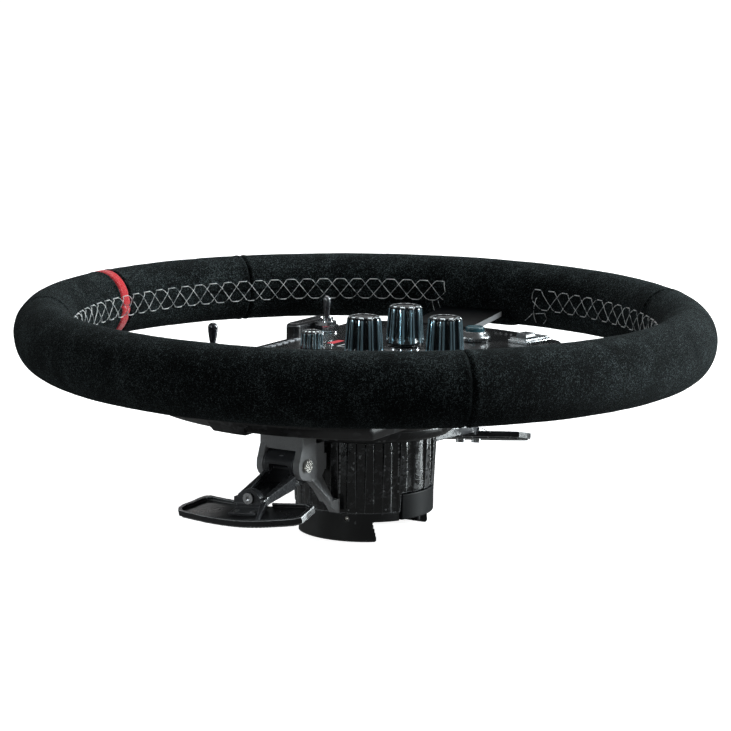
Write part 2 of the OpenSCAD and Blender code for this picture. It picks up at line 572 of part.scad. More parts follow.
module paddle_lever() {
    difference() {
        union() {
            // barrel and the finger above it
            translate([-hinge_x, 3.3, hinge_z]) rotate([-90, 0, 0]) cylinder(h = 14.4, r = 6);
            translate([-49.1, 3.3, hinge_z]) cube([4.7, 14.4, 10.2]);
            // arm down to the blade
            hull() {
                translate([-53.2, 3.3, 26.8]) cube([10, 14.4, 6]);
                translate([-89.8, -6.8, 27.6]) cube([1.6, 14, 3.2]);
            }
            // arched end plate
            translate([-92.6, -7, 27.4]) cube([3.6, 14.4, 2.8]);
            translate([-92.6, 0.2, 28.5]) intersection() {
                rotate([0, 90, 0]) cylinder(h = 3.6, r = 5.4, $fn = 48);
                translate([0, -7.2, -1]) cube([3.6, 14.4, 8.6]);
            }
            // foot on the blade
            blade_frame() {
                translate([-11, -6.5, -1.4]) cube([3.1, 12.6, 2.7]);
                translate([-17, -6.7, -1.55]) cube([9.4, 13.2, 1.2]);
                // gusset running out over the blade
                hull() {
                    translate([-12, -7.9, -1.45]) cube([2.6, 1.6, 3.2]);
                    translate([-21.6, -10.6, -1.45]) cube([1, 1.2, 0.4]);
                }
            }
        }
        translate([-hinge_x, 0, hinge_z]) rotate([-90, 0, 0]) cylinder(h = 30, r = 2.06, $fn = 48);
        // room for the near ear
        translate([-56, -1, 24]) cube([22, 4.28, 24]);
        // trough along the arm
        hull() {
            translate([-54, 6, 33.4]) cube([4, 9, 1]);
            translate([-57, 6, 28.9]) cube([1, 9, 8]);
            translate([-87.6, -4.4, 28.9]) cube([1, 9.2, 6]);
        }
        // bore and counterbore of the tie bolt in the end plate
        translate([-94.4, 0.2, 30.2]) rotate([0, 90, 0]) cylinder(h = 8, r = 1.3, $fn = 32);
        translate([-94.4, 0.2, 30.2]) rotate([0, 90, 0]) cylinder(h = 3, r = 2.6, $fn = 32);
        blade_frame() for (y = [-4, 4]) translate([-14.6, y, -7]) cylinder(h = 10, r = 1.3, $fn = 32);
        // seat of the lever magnet
        translate([-50, 10.5, 44.1]) rotate([0, 90, 0]) cylinder(h = 2.5, r = 1.5, $fn = 32);
    }
}
module paddle_lever_left() { color([0.2, 0.205, 0.22]) paddle_lever(); }
module paddle_lever_right() { color([0.2, 0.205, 0.22]) mirror([1, 0, 0]) paddle_lever(); }
// the blade lies in its own plane, tipped down towards its outer edge
module blade_frame() { translate([-82, 0, lip_z]) rotate([-5.36, -13, 0]) children(); }
// outline of the blade: a bowed outer edge and a waisted inner edge
module blade_outline(k = 1) {
    translate([-14.6, 0]) scale([1 - (1 - k) * 2.2, k]) translate([14.6, 0]) polygon([
        [-17.3, 31.1], [-18.7, 26.8], [-20, 22.2], [-21.5, 17.2], [-22.7, 12.2], [-23.6, 7.6], [-24.3, 3], [-24.8, -1.2], [-24.9, -5.4], [-24.7, -9.3],
        [-24.2, -13.1], [-23.5, -16.9], [-22.6, -20.6], [-21.8, -24.1], [-20.7, -27.6], [-18.8, -29.9], [-15, -29.9], [-7.9, -29.4], [-5.7, -26.1],
        [-5.7, -21.4], [-6.2, -12.5], [-6.4, -1.4], [-5.2, 10.6], [-2.9, 20.1], [-1.5, 24.6], [-1.9, 27.4], [-3.9, 28.9], [-8.3, 30.6], [-11.4, 32.6], [-14.6, 32.7]]);
}
module paddle_blade() {
    blade_frame() difference() {
        union() {
            translate([0, 0, -lip_h]) linear_extrude(lip_h) blade_outline();
            translate([0, 0, -lip_h - 0.7]) linear_extrude(0.71) blade_outline(0.96);
        }
        translate([0, 0, -1.6]) linear_extrude(3) blade_outline(0.94);
        // gap in the inner lip for the lever
        translate([-13, -8.6, -1.6]) cube([14, 17.2, 4]);
        for (y = [-4, 4]) translate([-14.6, y, -7]) cylinder(h = 10, r = 1.3, $fn = 32);
    }
}
module paddle_blade_left() { color([0.13, 0.13, 0.14]) paddle_blade(); }
module paddle_blade_right() { color([0.13, 0.13, 0.14]) mirror([1, 0, 0]) paddle_blade(); }
module paddle_screws() {
    blade_frame() for (y = [-4, 4]) translate([-14.6, y, 0]) difference() {
        union() {
            translate([0, 0, -4.5]) cylinder(h = 4.1, r = 1.27, $fn = 32);
            translate([0, 0, -5.1]) cylinder(h = 1.55, r = 2.2, $fn = 32);
        }
        translate([0, 0, -6]) cylinder(h = 1.7, r = 1, $fn = 6);
    }
    translate([-93.6, 0.2, 30.2]) rotate([0, 90, 0]) difference() {
        union() {
            cylinder(h = 2.15, r = 2.3, $fn = 32);
            translate([0, 0, 2]) cylinder(h = 4.4, r = 1.27, $fn = 32);
        }
        translate([0, 0, -1]) cylinder(h = 2, r = 1, $fn = 6);
    }
}
module paddle_screws_left() { color([0.6, 0.61, 0.63]) paddle_screws(); }
module paddle_screws_right() { color([0.6, 0.61, 0.63]) mirror([1, 0, 0]) paddle_screws(); }
module paddle_magnet_left() { color([0.75, 0.76, 0.78]) translate([-49.08, 10.5, 44.1]) rotate([0, 90, 0]) cylinder(h = 1.5, r = 1.48, $fn = 32); }
module paddle_magnet_right() { color([0.75, 0.76, 0.78]) mirror([1, 0, 0]) translate([-49.08, 10.5, 44.1]) rotate([0, 90, 0]) cylinder(h = 1.5, r = 1.48, $fn = 32); }
module stop_magnets() {
    color([0.75, 0.76, 0.78]) mirrored() translate([-50.92, 10.5, 44.1]) rotate([0, 90, 0]) cylinder(h = 1.4, r = 1.66, $fn = 32);
}
module hinge_pins() {
    color([0.8, 0.78, 0.74]) mirrored() translate([-hinge_x, 0, hinge_z]) rotate([-90, 0, 0]) difference() {
        union() {
            translate([0, 0, -0.1]) cylinder(h = 21.2, r = 2, $fn = 48);
            translate([0, 0, -1.3]) cylinder(h = 1.28, r = 2.7, $fn = 48);
        }
        translate([-4, -0.35, -2]) cube([8, 0.7, 1.2]);
    }
}
module shift_switches() {
    color([0.15, 0.15, 0.16]) mirrored() {
        translate([-40.6, 4.3, 37.4]) cube([7.2, 12.4, 6.2]);
        translate([-43.6, 9.5, 40]) cube([3.2, 2, 2.2]);
    }
}

spoke_frame();
rim_core();
rim_foam();
suede_top_left();
suede_top_right();
suede_left();
suede_right();
suede_bottom();
centre_band();
rim_stitching();
face_plate();
rear_housing();
toggle_guard_left();
toggle_guard_right();
circuit_board();
cover_screws();
rev_light_lenses();
status_lights();
knob_left();
knob_right();
knob_lower();
small_knob();
knob_shaft_left();
knob_shaft_right();
knob_shaft_lower();
small_knob_shaft();
knob_collars();
rotary_switch_bodies();
toggle_lever_left();
toggle_lever_right();
toggle_bushings();
toggle_nuts();
toggle_switch_bodies();
round_button_left();
round_button_right();
round_button_bezels();
square_button_left();
square_button_right();
square_button_bezels();
button_switch_bodies();
hub_flange();
hub_sleeve();
hub_bolts();
quick_release_ring();
release_latch();
latch_spring();
contact_block();
paddle_bracket_left();
paddle_bracket_right();
paddle_lever_left();
paddle_lever_right();
paddle_blade_left();
paddle_blade_right();
paddle_screws_left();
paddle_screws_right();
paddle_magnet_left();
paddle_magnet_right();
stop_magnets();
hinge_pins();
shift_switches();
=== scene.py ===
import math

import bpy
import bmesh
import numpy as np
from mathutils import Matrix, Vector, noise


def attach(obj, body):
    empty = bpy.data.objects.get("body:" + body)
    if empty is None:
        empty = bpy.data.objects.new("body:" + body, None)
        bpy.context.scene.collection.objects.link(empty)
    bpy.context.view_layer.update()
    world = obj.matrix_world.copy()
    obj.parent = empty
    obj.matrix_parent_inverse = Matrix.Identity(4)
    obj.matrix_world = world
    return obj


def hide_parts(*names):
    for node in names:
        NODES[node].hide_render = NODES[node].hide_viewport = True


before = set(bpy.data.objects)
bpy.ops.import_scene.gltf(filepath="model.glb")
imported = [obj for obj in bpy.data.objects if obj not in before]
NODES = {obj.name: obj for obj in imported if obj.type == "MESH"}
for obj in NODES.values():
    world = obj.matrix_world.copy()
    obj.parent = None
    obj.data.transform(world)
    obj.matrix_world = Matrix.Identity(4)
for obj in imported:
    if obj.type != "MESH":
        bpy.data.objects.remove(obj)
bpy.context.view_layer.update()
SC = bpy.context.scene
COL = SC.collection
MM = 0.001

# ------------------------------------------------------------------ camera
cam_data = bpy.data.cameras.new("camera")
cam_data.sensor_width = 36.0
cam_data.sensor_fit = "HORIZONTAL"
cam_data.lens = 138.724
cam_data.clip_start = 0.05
cam_data.clip_end = 60.0
cam = bpy.data.objects.new("camera", cam_data)
COL.objects.link(cam)
R = Vector((0.5018488, -0.8648682, 0.012278))
U = Vector((0.1451312, 0.0981906, 0.9845281))
B = -Vector((0.8526926, 0.4923023, -0.1747962))
cam.matrix_world = Matrix(((R.x, U.x, B.x, -1.03306), (R.y, U.y, B.y, -0.596495), (R.z, U.z, B.z, 0.282894), (0, 0, 0, 1)))
SC.camera = cam
SC.view_settings.view_transform = "Standard"
SC.view_settings.look = "None"

# ---------------------------------------------------------------- materials
def new_mat(name):
    m = bpy.data.materials.new(name)
    m.use_nodes = True
    nt = m.node_tree
    bsdf = nt.nodes.get("Principled BSDF")
    return m, nt, bsdf


def N(nt, kind, **kw):
    n = nt.nodes.new(kind)
    for k, v in kw.items():
        if hasattr(n, k):
            setattr(n, k, v)
        else:
            n.inputs[k.replace("_", " ")].default_value = v
    return n


def coords(nt):
    return N(nt, "ShaderNodeTexCoord").outputs["Object"]


def noise_tex(nt, co, scale, detail=4.0, rough=0.6, dist=0.0):
    n = N(nt, "ShaderNodeTexNoise")
    n.inputs["Scale"].default_value = scale
    n.inputs["Detail"].default_value = detail
    n.inputs["Roughness"].default_value = rough
    n.inputs["Distortion"].default_value = dist
    nt.links.new(co, n.inputs["Vector"])
    return n.outputs["Fac"]


def ramp(nt, fac, stops):
    r = N(nt, "ShaderNodeValToRGB")
    els = r.color_ramp.elements
    while len(els) < len(stops):
        els.new(0.5)
    for e, (p, c) in zip(els, stops):
        e.position = p
        e.color = (c[0], c[1], c[2], 1.0) if hasattr(c, "__len__") else (c, c, c, 1.0)
    nt.links.new(fac, r.inputs["Fac"])
    return r.outputs["Color"]


def mix(nt, a, b, fac, mode="MIX"):
    m = N(nt, "ShaderNodeMix")
    m.data_type = "RGBA"
    m.blend_type = mode
    for sock, val in (("Factor", fac), ("A", a), ("B", b)):
        s = [i for i in m.inputs if i.name == sock and (i.type == ("VALUE" if sock == "Factor" else "RGBA"))][0]
        if isinstance(val, bpy.types.NodeSocket):
            nt.links.new(val, s)
        elif sock == "Factor":
            s.default_value = val
        else:
            s.default_value = (val[0], val[1], val[2], 1.0)
    return [o for o in m.outputs if o.type == "RGBA"][0]


def math_node(nt, op, a, b=None, clamp=False):
    m = N(nt, "ShaderNodeMath")
    m.operation = op
    m.use_clamp = clamp
    for i, v in enumerate((a, b)):
        if v is None:
            continue
        if isinstance(v, bpy.types.NodeSocket):
            nt.links.new(v, m.inputs[i])
        else:
            m.inputs[i].default_value = v
    return m.outputs[0]


def bump(nt, h, strength, dist, normal=None):
    b = N(nt, "ShaderNodeBump")
    b.inputs["Strength"].default_value = strength
    b.inputs["Distance"].default_value = dist
    nt.links.new(h, b.inputs["Height"])
    if normal is not None:
        nt.links.new(normal, b.inputs["Normal"])
    return b.outputs["Normal"]


def painted_edge_highlights(nt, b, col, amount, lo=0.512, hi=0.56):
    """Painted highlight: convex corners made paler, found from the mesh's own curvature."""
    geo = N(nt, "ShaderNodeNewGeometry")
    f = ramp(nt, geo.outputs["Pointiness"], [(lo, 0.0), (hi, amount)])
    old = b.inputs["Base Color"].links[0].from_socket
    nt.links.new(mix(nt, old, col, f), b.inputs["Base Color"])


def suede(name, dark, mid_c, light, sheen_w, sheen_tint, contrast=1.0):
    """Brushed microfibre: near-black pile with pale speckles that are partly short fibre ends and partly painted sheen,
    clouded where the nap lies another way.
    """
    m, nt, b = new_mat(name)
    co = coords(nt)
    fine = noise_tex(nt, co, 2400.0, 2.0, 0.75)
    mid = noise_tex(nt, co, 950.0, 3.0, 0.7)
    cloud = noise_tex(nt, co, 60.0, 4.0, 0.65, 0.5)
    f1 = math_node(nt, "MULTIPLY", fine, 0.60)
    f2 = math_node(nt, "MULTIPLY_ADD", mid, 0.26)
    nt.links.new(f1, f2.node.inputs[2])
    f3 = math_node(nt, "MULTIPLY_ADD", cloud, 0.18)
    nt.links.new(f2, f3.node.inputs[2])
    # the pale top of the ramp is partly painted sheen on the nap
    c = ramp(nt, f3, [(0.47, dark), (0.545, mid_c), (0.64, light)])
    nt.links.new(c, b.inputs["Base Color"])
    r = ramp(nt, mid, [(0.3, 0.85), (0.7, 1.0)])
    nt.links.new(r, b.inputs["Roughness"])
    n1 = bump(nt, cloud, 0.30, 0.0014)
    n2 = bump(nt, mid, 0.8, 0.0008, n1)
    n3 = bump(nt, fine, 1.0, 0.00055, n2)
    nt.links.new(n3, b.inputs["Normal"])
    b.inputs["Specular IOR Level"].default_value = 0.06
    b.inputs["Sheen Weight"].default_value = sheen_w
    b.inputs["Sheen Roughness"].default_value = 0.34
    b.inputs["Sheen Tint"].default_value = (*sheen_tint, 1.0)
    return m


def thread(name, lo, mid_c, hi):
    """Waxed thread: random brighter and duller patches; the bright ones are partly painted highlight, the dull ones
    worn.
    """
    m, nt, b = new_mat(name)
    co = coords(nt)
    a = noise_tex(nt, co, 420.0, 3.0, 0.6)
    c = ramp(nt, a, [(0.34, lo), (0.45, mid_c), (0.54, hi)])
    nt.links.new(c, b.inputs["Base Color"])
    r = ramp(nt, a, [(0.3, 0.65), (0.7, 0.30)])
    nt.links.new(r, b.inputs["Roughness"])
    nt.links.new(bump(nt, noise_tex(nt, co, 3200.0, 2.0, 0.5), 0.3, 0.00005), b.inputs["Normal"])
    b.inputs["Specular IOR Level"].default_value = 0.8
    return m


def plastic(name, base, rough, grain=2600.0, grain_str=0.25, var=0.25, spec=0.5, coat=0.0, metallic=0.0, edge=0.0, edge_highlight_col=(0.42, 0.44, 0.46)):
    """Moulded plastic: base tone with cloudy variation, fine spark-eroded grain, uneven gloss."""
    m, nt, b = new_mat(name)
    co = coords(nt)
    cl = noise_tex(nt, co, 55.0, 4.0, 0.6)
    gr = noise_tex(nt, co, grain, 2.0, 0.6)
    lo = [c * (1 - var) for c in base]
    hi = [min(1.0, c * (1 + var)) for c in base]
    c = ramp(nt, cl, [(0.3, lo), (0.7, hi)])
    sp = ramp(nt, gr, [(0.35, 0.86), (0.65, 1.0)])
    c2 = mix(nt, c, sp, 1.0, "MULTIPLY")
    nt.links.new(c2, b.inputs["Base Color"])
    r = ramp(nt, cl, [(0.25, max(0.0, rough - 0.07)), (0.75, min(1.0, rough + 0.07))])
    nt.links.new(r, b.inputs["Roughness"])
    if grain_str:
        nt.links.new(bump(nt, gr, grain_str, 0.00006), b.inputs["Normal"])
    b.inputs["Specular IOR Level"].default_value = spec
    b.inputs["Metallic"].default_value = metallic
    if coat:
        b.inputs["Coat Weight"].default_value = coat
        b.inputs["Coat Roughness"].default_value = 0.08
    # painted highlight: convex corners lightened towards the edge colour by curvature
    if edge:
        painted_edge_highlights(nt, b, edge_highlight_col, edge)
    return m


def metal(name, base, rough, scale=900.0, stretch=(1, 1, 1), var=0.12, bumps=0.12):
    """Machined or plated metal with fine tool marks."""
    m, nt, b = new_mat(name)
    co = coords(nt)
    mp = N(nt, "ShaderNodeMapping")
    mp.inputs["Scale"].default_value = stretch
    nt.links.new(co, mp.inputs["Vector"])
    st = noise_tex(nt, mp.outputs["Vector"], scale, 3.0, 0.6)
    cl = noise_tex(nt, co, 90.0, 3.0, 0.5)
    c = ramp(nt, cl, [(0.3, [x * (1 - var) for x in base]), (0.7, base)])
    nt.links.new(c, b.inputs["Base Color"])
    r = ramp(nt, st, [(0.3, max(0.02, rough - 0.06)), (0.7, rough + 0.08)])
    nt.links.new(r, b.inputs["Roughness"])
    nt.links.new(bump(nt, st, bumps, 0.00005), b.inputs["Normal"])
    b.inputs["Metallic"].default_value = 1.0
    return m


def forged(name, lo=0.008, hi=0.10, rough=0.34, chip=170.0, edge=0.0, coat=0.2):
    """Chopped-fibre moulding: flat chips at random angles, each with its own tone and gloss."""
    m, nt, b = new_mat(name)
    co = coords(nt)
    warp = N(nt, "ShaderNodeTexNoise")
    warp.inputs["Scale"].default_value = 140.0
    warp.inputs["Detail"].default_value = 2.0
    nt.links.new(co, warp.inputs["Vector"])
    w = mix(nt, co, warp.outputs["Color"], 0.004, "ADD")
    v1 = N(nt, "ShaderNodeTexVoronoi")
    v1.inputs["Scale"].default_value = chip
    v1.inputs["Randomness"].default_value = 1.0
    nt.links.new(w, v1.inputs["Vector"])
    v2 = N(nt, "ShaderNodeTexVoronoi")
    v2.inputs["Scale"].default_value = chip * 2.3
    nt.links.new(w, v2.inputs["Vector"])
    s1 = N(nt, "ShaderNodeSeparateColor")
    nt.links.new(v1.outputs["Color"], s1.inputs[0])
    s2 = N(nt, "ShaderNodeSeparateColor")
    nt.links.new(v2.outputs["Color"], s2.inputs[0])
    t = math_node(nt, "MULTIPLY", s1.outputs[0], s2.outputs[1])
    fib = noise_tex(nt, co, 1500.0, 2.0, 0.5)
    t2 = math_node(nt, "MULTIPLY_ADD", fib, 0.25)
    nt.links.new(t, t2.node.inputs[2])
    c = ramp(nt, t2, [(0.12, (lo, lo, lo * 1.1)), (0.45, (lo * 2.2, lo * 2.3, lo * 2.6)), (0.85, (hi, hi * 1.04, hi * 1.12))])
    nt.links.new(c, b.inputs["Base Color"])
    r = ramp(nt, s1.outputs[1], [(0.0, rough - 0.12), (1.0, rough + 0.16)])
    nt.links.new(r, b.inputs["Roughness"])
    n1 = bump(nt, s1.outputs[2], 0.12, 0.0002)
    nt.links.new(bump(nt, fib, 0.12, 0.00006, n1), b.inputs["Normal"])
    b.inputs["Coat Weight"].default_value = coat
    b.inputs["Coat Roughness"].default_value = 0.12
    # painted highlight: convex corners of the moulding lightened by curvature
    if edge:
        painted_edge_highlights(nt, b, (0.46, 0.48, 0.50), edge, 0.516, 0.55)
    return m


def edge_cut(name, base, rough, lo, hi, bright_edge_col, grain_s=0.12, edge_metal=1.0, spec=0.5):
    """Dark anodised sheet whose cut or chamfered edges are bright, partly as bare metal and partly as painted
    highlight: picked by how far the face tilts from +Z.
    """
    m = plastic(name, base, rough, 3200.0, grain_s, 0.2, spec)
    nt = m.node_tree
    b = nt.nodes["Principled BSDF"]
    geo = N(nt, "ShaderNodeNewGeometry")
    tr = N(nt, "ShaderNodeVectorTransform")
    tr.vector_type = "NORMAL"
    tr.convert_from = "WORLD"
    tr.convert_to = "OBJECT"
    nt.links.new(geo.outputs["True Normal"], tr.inputs[0])
    sep = N(nt, "ShaderNodeSeparateXYZ")
    nt.links.new(tr.outputs[0], sep.inputs[0])
    az = math_node(nt, "ABSOLUTE", sep.outputs["Z"])
    up = math_node(nt, "GREATER_THAN", az, lo)
    dn = math_node(nt, "LESS_THAN", az, hi)
    f = math_node(nt, "MULTIPLY", up, dn)
    # bright edge colour: partly bare metal, partly painted highlight
    old = b.inputs["Base Color"].links[0].from_socket
    nt.links.new(mix(nt, old, bright_edge_col, f), b.inputs["Base Color"])
    nt.links.new(math_node(nt, "MULTIPLY", f, edge_metal), b.inputs["Metallic"])
    return m


# entries given an edge amount and edge colour get painted highlights on their convex corners
M = {
    "suede": suede("suede_black", (0.0003, 0.0006, 0.0007), (0.0018, 0.0030, 0.0033), (0.100, 0.126, 0.130), 0.08, (0.60, 0.74, 0.76)),
    # red band: the pale pink top of its ramp is a painted highlight
    "band": suede("suede_red", (0.90, 0.018, 0.030), (1.0, 0.070, 0.085), (1.0, 0.36, 0.38), 0.8, (1.0, 0.72, 0.72)),
    "thread": thread("thread_pale", (0.25, 0.27, 0.275), (0.75, 0.78, 0.79), (1.0, 1.0, 1.0)),
    "thread_thin": thread("thread_grey", (0.09, 0.10, 0.105), (0.34, 0.37, 0.38), (0.98, 1.0, 1.0)),
    "foam": plastic("foam_black", (0.02, 0.02, 0.02), 0.9, 900.0, 0.5),
    "steel": metal("steel_zinc", (0.60, 0.60, 0.61), 0.30),
    # frame sides and plate chamfers: bright edge colour partly bare metal, partly painted highlight
    "frame": edge_cut("anodised_black_bright_edges", (0.004, 0.0045, 0.0055), 0.60, -1.0, 0.55, (0.74, 0.75, 0.77), 0.12, 0.3, 0.10),
    "plate": edge_cut("plate_black_bright_chamfer", (0.017, 0.0175, 0.0185), 0.19, 0.35, 0.92, (0.78, 0.80, 0.82), 0.0),
    "housing": forged("forged_composite", 0.0025, 0.045, 0.36, 170.0, 0.25),
    "flange": forged("forged_composite_flange", 0.0020, 0.034, 0.36, 230.0, 0.3),
    "hub": forged("ribbed_hub", 0.003, 0.070, 0.26, 420.0, 0.75, 0.5),
    "qr": plastic("ring_black", (0.014, 0.0145, 0.0155), 0.34, 2400.0, 0.2, 0.3, 0.5, 0.0, 0.0, 0.25),
    "latch": plastic("latch_black", (0.0035, 0.004, 0.005), 0.50, 2400.0, 0.2, 0.25, 0.12),
    "guard": plastic("guard_black", (0.014, 0.014, 0.016), 0.24, 2600.0, 0.1, 0.25, 0.5, 0.0, 0.0, 0.8, (0.62, 0.62, 0.66)),
    "board": plastic("board_green", (0.01, 0.09, 0.035), 0.35, 700.0, 0.2),
    "dark_screw": metal("screw_black", (0.06, 0.06, 0.065), 0.32),
    "lens": plastic("lens_milky", (0.62, 0.64, 0.68), 0.18, 1600.0, 0.1, 0.12),
    "silver": metal("silver_mark", (0.75, 0.76, 0.78), 0.2, bumps=0.03),
    "knob": plastic("knob_black_gloss", (0.010, 0.014, 0.017), 0.12, 1900.0, 0.0, 0.15, 0.5, 0.4, 0.0),
    # knob rib flanks and top rim: pale teal painted highlight and near-white painted glint
    "knob_rib": plastic("knob_rib_painted_highlight", (0.46, 0.66, 0.76), 0.14, 1900.0, 0.0, 0.12, 0.6, 0.4, 0.7),
    "knob_rim": plastic("knob_rim_painted_glint", (0.72, 0.80, 0.83), 0.13, 1900.0, 0.0, 0.12, 0.6, 0.4, 0.7),
    "shaft": metal("shaft_metal", (0.6, 0.6, 0.62), 0.28),
    "chrome": metal("nickel_bright", (0.80, 0.81, 0.83), 0.11, 900.0, bumps=0.015),
    "bezel": metal("nickel_satin", (0.40, 0.41, 0.42), 0.24, 900.0, bumps=0.02),
    "tog_dark": plastic("toggle_black", (0.035, 0.037, 0.045), 0.14, 1900.0, 0.0, 0.2, 0.6, 0.5, 0.5),
    # right toggle: dark plastic with painted highlights on its edges
    "tog_painted_highlight": plastic("toggle_dark_painted_highlight", (0.040, 0.042, 0.050), 0.13, 1900.0, 0.0, 0.2, 0.6, 0.5, 0.5, 0.7, (0.8, 0.82, 0.85)),
    "switch": plastic("switch_plastic", (0.02, 0.02, 0.024), 0.5),
    "teal": plastic("cap_teal", (0.040, 0.125, 0.155), 0.22, 1900.0, 0.08, 0.25, 0.5, 0.4),
    "grey_cap": plastic("cap_grey", (0.10, 0.11, 0.12), 0.25, 1900.0, 0.1, 0.2, 0.5, 0.3),
    # bracket grey is partly its own colour and partly painted light, raised to make the lit near ear bright
    "bracket": plastic("bracket_grey", (0.42, 0.425, 0.435), 0.36, 1500.0, 0.3, 0.12, 0.5, 0.0, 0.0, 0.35, (0.62, 0.63, 0.64)),
    "lever": plastic("lever_dark", (0.075, 0.078, 0.086), 0.27, 1500.0, 0.25, 0.2, 0.5, 0.0, 0.0, 0.5, (0.45, 0.46, 0.48)),
    "blade": plastic("blade_dark", (0.018, 0.0185, 0.0205), 0.30, 1500.0, 0.3, 0.25, 0.5, 0.0, 0.0, 1.0, (0.86, 0.88, 0.90)),
    "magnet": metal("magnet_nickel", (0.7, 0.7, 0.72), 0.2),
    "pin": metal("pin_steel", (0.80, 0.77, 0.72), 0.22),
    "mark_white": plastic("mark_white", (0.70, 0.72, 0.74), 0.5, 1900.0, 0.1, 0.08),
    "mark_red": plastic("mark_red", (0.86, 0.012, 0.04), 0.45, 1900.0, 0.1, 0.1),
}

# --------------------------------------------------------------- mesh helpers
def to_obj(name, verts, faces, mat, smooth=True, sharp=35.0):
    me = bpy.data.meshes.new(name)
    me.from_pydata([tuple(v) for v in verts], [], [tuple(f) for f in faces])
    me.validate()
    return finish_mesh(name, me, mat, smooth, sharp)


def finish_mesh(name, me, mat, smooth=True, sharp=35.0, fix=True):
    bm = bmesh.new()
    bm.from_mesh(me)
    if fix:
        bmesh.ops.recalc_face_normals(bm, faces=bm.faces)
    lim = math.radians(sharp)
    for f in bm.faces:
        f.smooth = smooth
    for e in bm.edges:
        e.smooth = not (len(e.link_faces) == 2 and e.calc_face_angle(0.0) > lim)
    bm.to_mesh(me)
    bm.free()
    me.materials.clear()
    me.materials.append(mat)
    ob = bpy.data.objects.new(name, me)
    COL.objects.link(ob)
    return ob


def evaluated(ob):
    dg = bpy.context.evaluated_depsgraph_get()
    dg.update()
    return bpy.data.meshes.new_from_object(ob.evaluated_get(dg))


def soften(node, name, voxel, mat, iters=3, keep=0.4, factor=0.5, sharp=38.0):
    """A moulded look for a CAD node: its own solid, remeshed finely and eased at every edge."""
    src = NODES[node]
    me = src.data.copy()
    bm = bmesh.new()
    bm.from_mesh(me)
    bmesh.ops.remove_doubles(bm, verts=bm.verts, dist=2e-6)
    bm.to_mesh(me)
    bm.free()
    ob = bpy.data.objects.new(name + "_tmp", me)
    COL.objects.link(ob)
    v = voxel * 1.0
    r = ob.modifiers.new("r", "REMESH")
    r.mode = "VOXEL"
    r.voxel_size = v
    s = ob.modifiers.new("s", "SMOOTH")
    s.factor = factor
    s.iterations = iters
    if keep < 1:
        d = ob.modifiers.new("d", "DECIMATE")
        d.ratio = keep
    out = evaluated(ob)
    bpy.data.objects.remove(ob)
    o = finish_mesh(name, out, mat, True, sharp, fix=False)
    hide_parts(node)
    return o


def lathe(profile, n, mat, name, centre=(0, 0, 0), modulate=None, sharp=35.0):
    """Closed solid of revolution about Z. profile runs from the bottom axis to the top axis, in metres."""
    vs, fs = [], []
    rings = []
    for (r, z) in profile:
        if r < 1e-9:
            rings.append([len(vs)])
            vs.append((centre[0], centre[1], centre[2] + z))
        else:
            ids = []
            for j in range(n):
                t = 2 * math.pi * j / n
                rr = r if modulate is None else modulate(r, z, t)
                ids.append(len(vs))
                vs.append((centre[0] + rr * math.cos(t), centre[1] + rr * math.sin(t), centre[2] + z))
            rings.append(ids)
    for a, b in zip(rings, rings[1:]):
        if len(a) == 1 and len(b) == 1:
            continue
        for j in range(n):
            k = (j + 1) % n
            if len(a) == 1:
                fs.append((a[0], b[k], b[j]))
            elif len(b) == 1:
                fs.append((a[j], a[k], b[0]))
            else:
                fs.append((a[j], a[k], b[k], b[j]))
    return to_obj(name, vs, fs, mat, True, sharp)


def tube(paths, radius, sides=6, caps=True):
    """Vertices and faces of round tubes along polylines."""
    vs, fs = [], []
    for path in paths:
        P = [Vector(p) for p in path]
        n = len(P)
        up = None
        start = len(vs)
        for i in range(n):
            d = (P[min(i + 1, n - 1)] - P[max(i - 1, 0)]).normalized()
            if up is None:
                up = Vector((0, 0, 1)) if abs(d.z) < 0.9 else Vector((1, 0, 0))
            side = d.cross(up).normalized()
            up = side.cross(d).normalized()
            rr = radius(i, n) if callable(radius) else radius
            for k in range(sides):
                a = 2 * math.pi * k / sides
                vs.append(P[i] + (side * math.cos(a) + up * math.sin(a)) * rr)
        for i in range(n - 1):
            for k in range(sides):
                k2 = (k + 1) % sides
                fs.append((start + i * sides + k, start + i * sides + k2, start + (i + 1) * sides + k2, start + (i + 1) * sides + k))
        if caps:
            fs.append(tuple(start + k for k in range(sides - 1, -1, -1)))
            fs.append(tuple(start + (n - 1) * sides + k for k in range(sides)))
    return vs, fs


# ------------------------------------------------------------------------ rim
RM, GA, GB, ZC = 137.24, 12.757, 14.943, 86.0
PITCH, DASH, ROW = 7.8, 2.0, 4.6


def rim_pt(az, t, h):
    """Point on the grip: azimuth in degrees, arc distance t from the inner line, height h above the skin, in mm."""
    phi = math.pi - t / GB
    c, s = math.cos(phi), math.sin(phi)
    n = math.hypot(c / GA, s / GB)
    r = RM + GA * c + h * (c / GA) / n
    z = ZC + GB * s + h * (s / GB) / n
    a = math.radians(az)
    return Vector((r * math.cos(a), r * math.sin(a), z)) * MM


RIN = RM - GA
STRETCHES = [(13.9, 166.1), (190.0, 262.4), (277.6, 350.6)]
DEG = 180 / math.pi / RIN


def stretch_stitches():
    out = []
    for a0, a1 in STRETCHES:
        L = (a1 - a0) / DEG
        n = int(round(L / PITCH))
        p = L / n
        out.append((a0, n, p))
    return out


STITCH = stretch_stitches()
# holes that the thread pulls into, (azimuth in degrees, t)
HOLES = []
for a0, n, p in STITCH:
    for k in range(n + 1):
        for s in (-1, 1):
            HOLES.append((a0 + (k * p + s * DASH) * DEG, ROW))
            HOLES.append((a0 + ((k + 0.5) * p + s * DASH) * DEG, -ROW))
HOLES_UP = np.array(sorted(h[0] for h in HOLES if h[1] > 0))
HOLES_DN = np.array(sorted(h[0] for h in HOLES if h[1] < 0))


